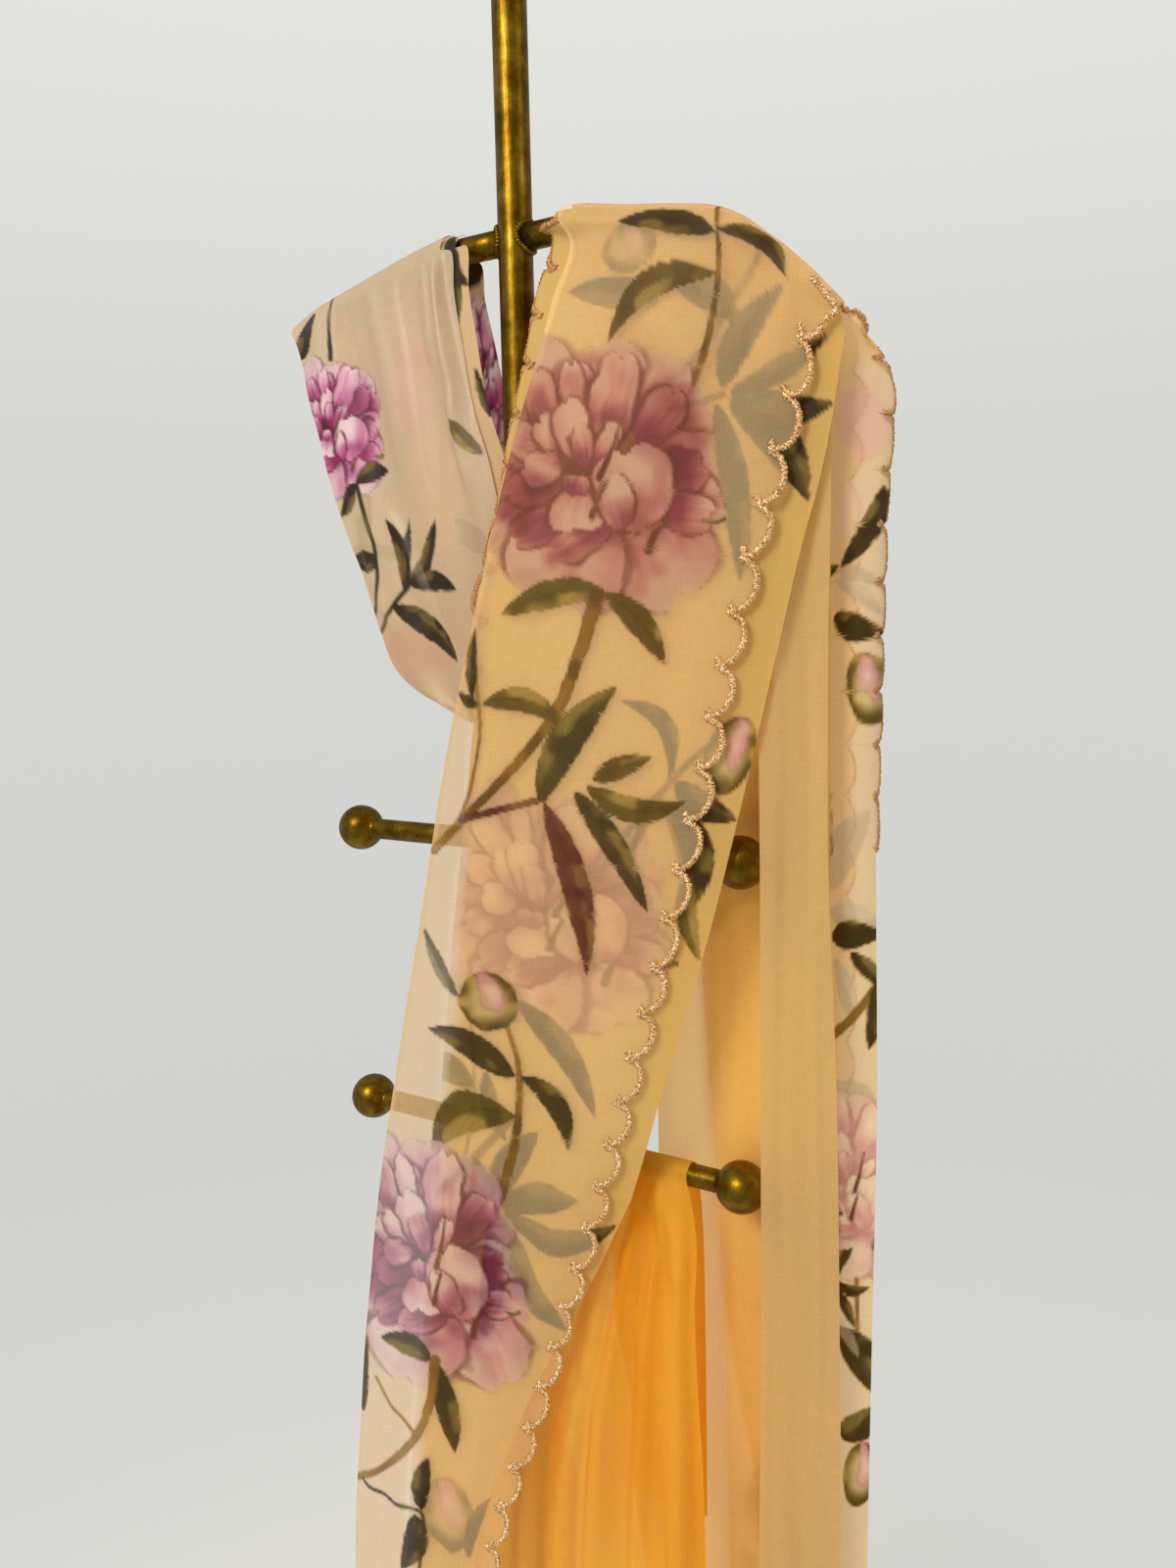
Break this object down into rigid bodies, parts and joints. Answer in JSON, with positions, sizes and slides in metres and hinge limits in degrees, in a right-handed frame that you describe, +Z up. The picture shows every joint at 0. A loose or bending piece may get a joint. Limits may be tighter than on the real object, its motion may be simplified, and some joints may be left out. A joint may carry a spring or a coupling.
{
  "type": "saree on a standing peg rack",
  "caption": "Organza saree hung in layers over a standing peg rack: scalloped floral front, plain amber folds and a short swag on the far arm.",
  "frame": {"origin": "middle of the base's underside, on the floor under the post", "axes": "+Z up along the post, -Y towards the viewer, +X to the viewer's right"},
  "size_m": [0.4267, 0.38, 1.88],
  "materials": {
    "stand_brass": "aged brass coat, brushed, worn bright along the tubes",
    "organza_print": "sheer peach organza with a printed flower pattern and embroidered scallops",
    "organza_plain": "sheer plain amber organza",
    "organza_orange": "sheer orange organza, gathered and nearly opaque",
    "satin_print": "soft matt satin weave with the printed flower pattern"
  },
  "bodies": {
    "root": {"base": "stand_brass", "post": "stand_brass", "finial": "stand_brass", "top_arm_near": "stand_brass", "top_arm_far": "stand_brass", "peg_mid_near": "stand_brass", "peg_mid_far": "stand_brass", "peg_low_near": "stand_brass", "peg_low_far": "stand_brass", "pallu_outer_front": "organza_print", "pallu_under_front": "organza_print", "pallu_back": "organza_print", "body_band_front": "organza_plain", "body_inner": "organza_plain", "body_gathered": "organza_orange", "swag_front": "satin_print", "swag_inner": "satin_print", "swag_back": "satin_print"}
  },
  "joints": []
}
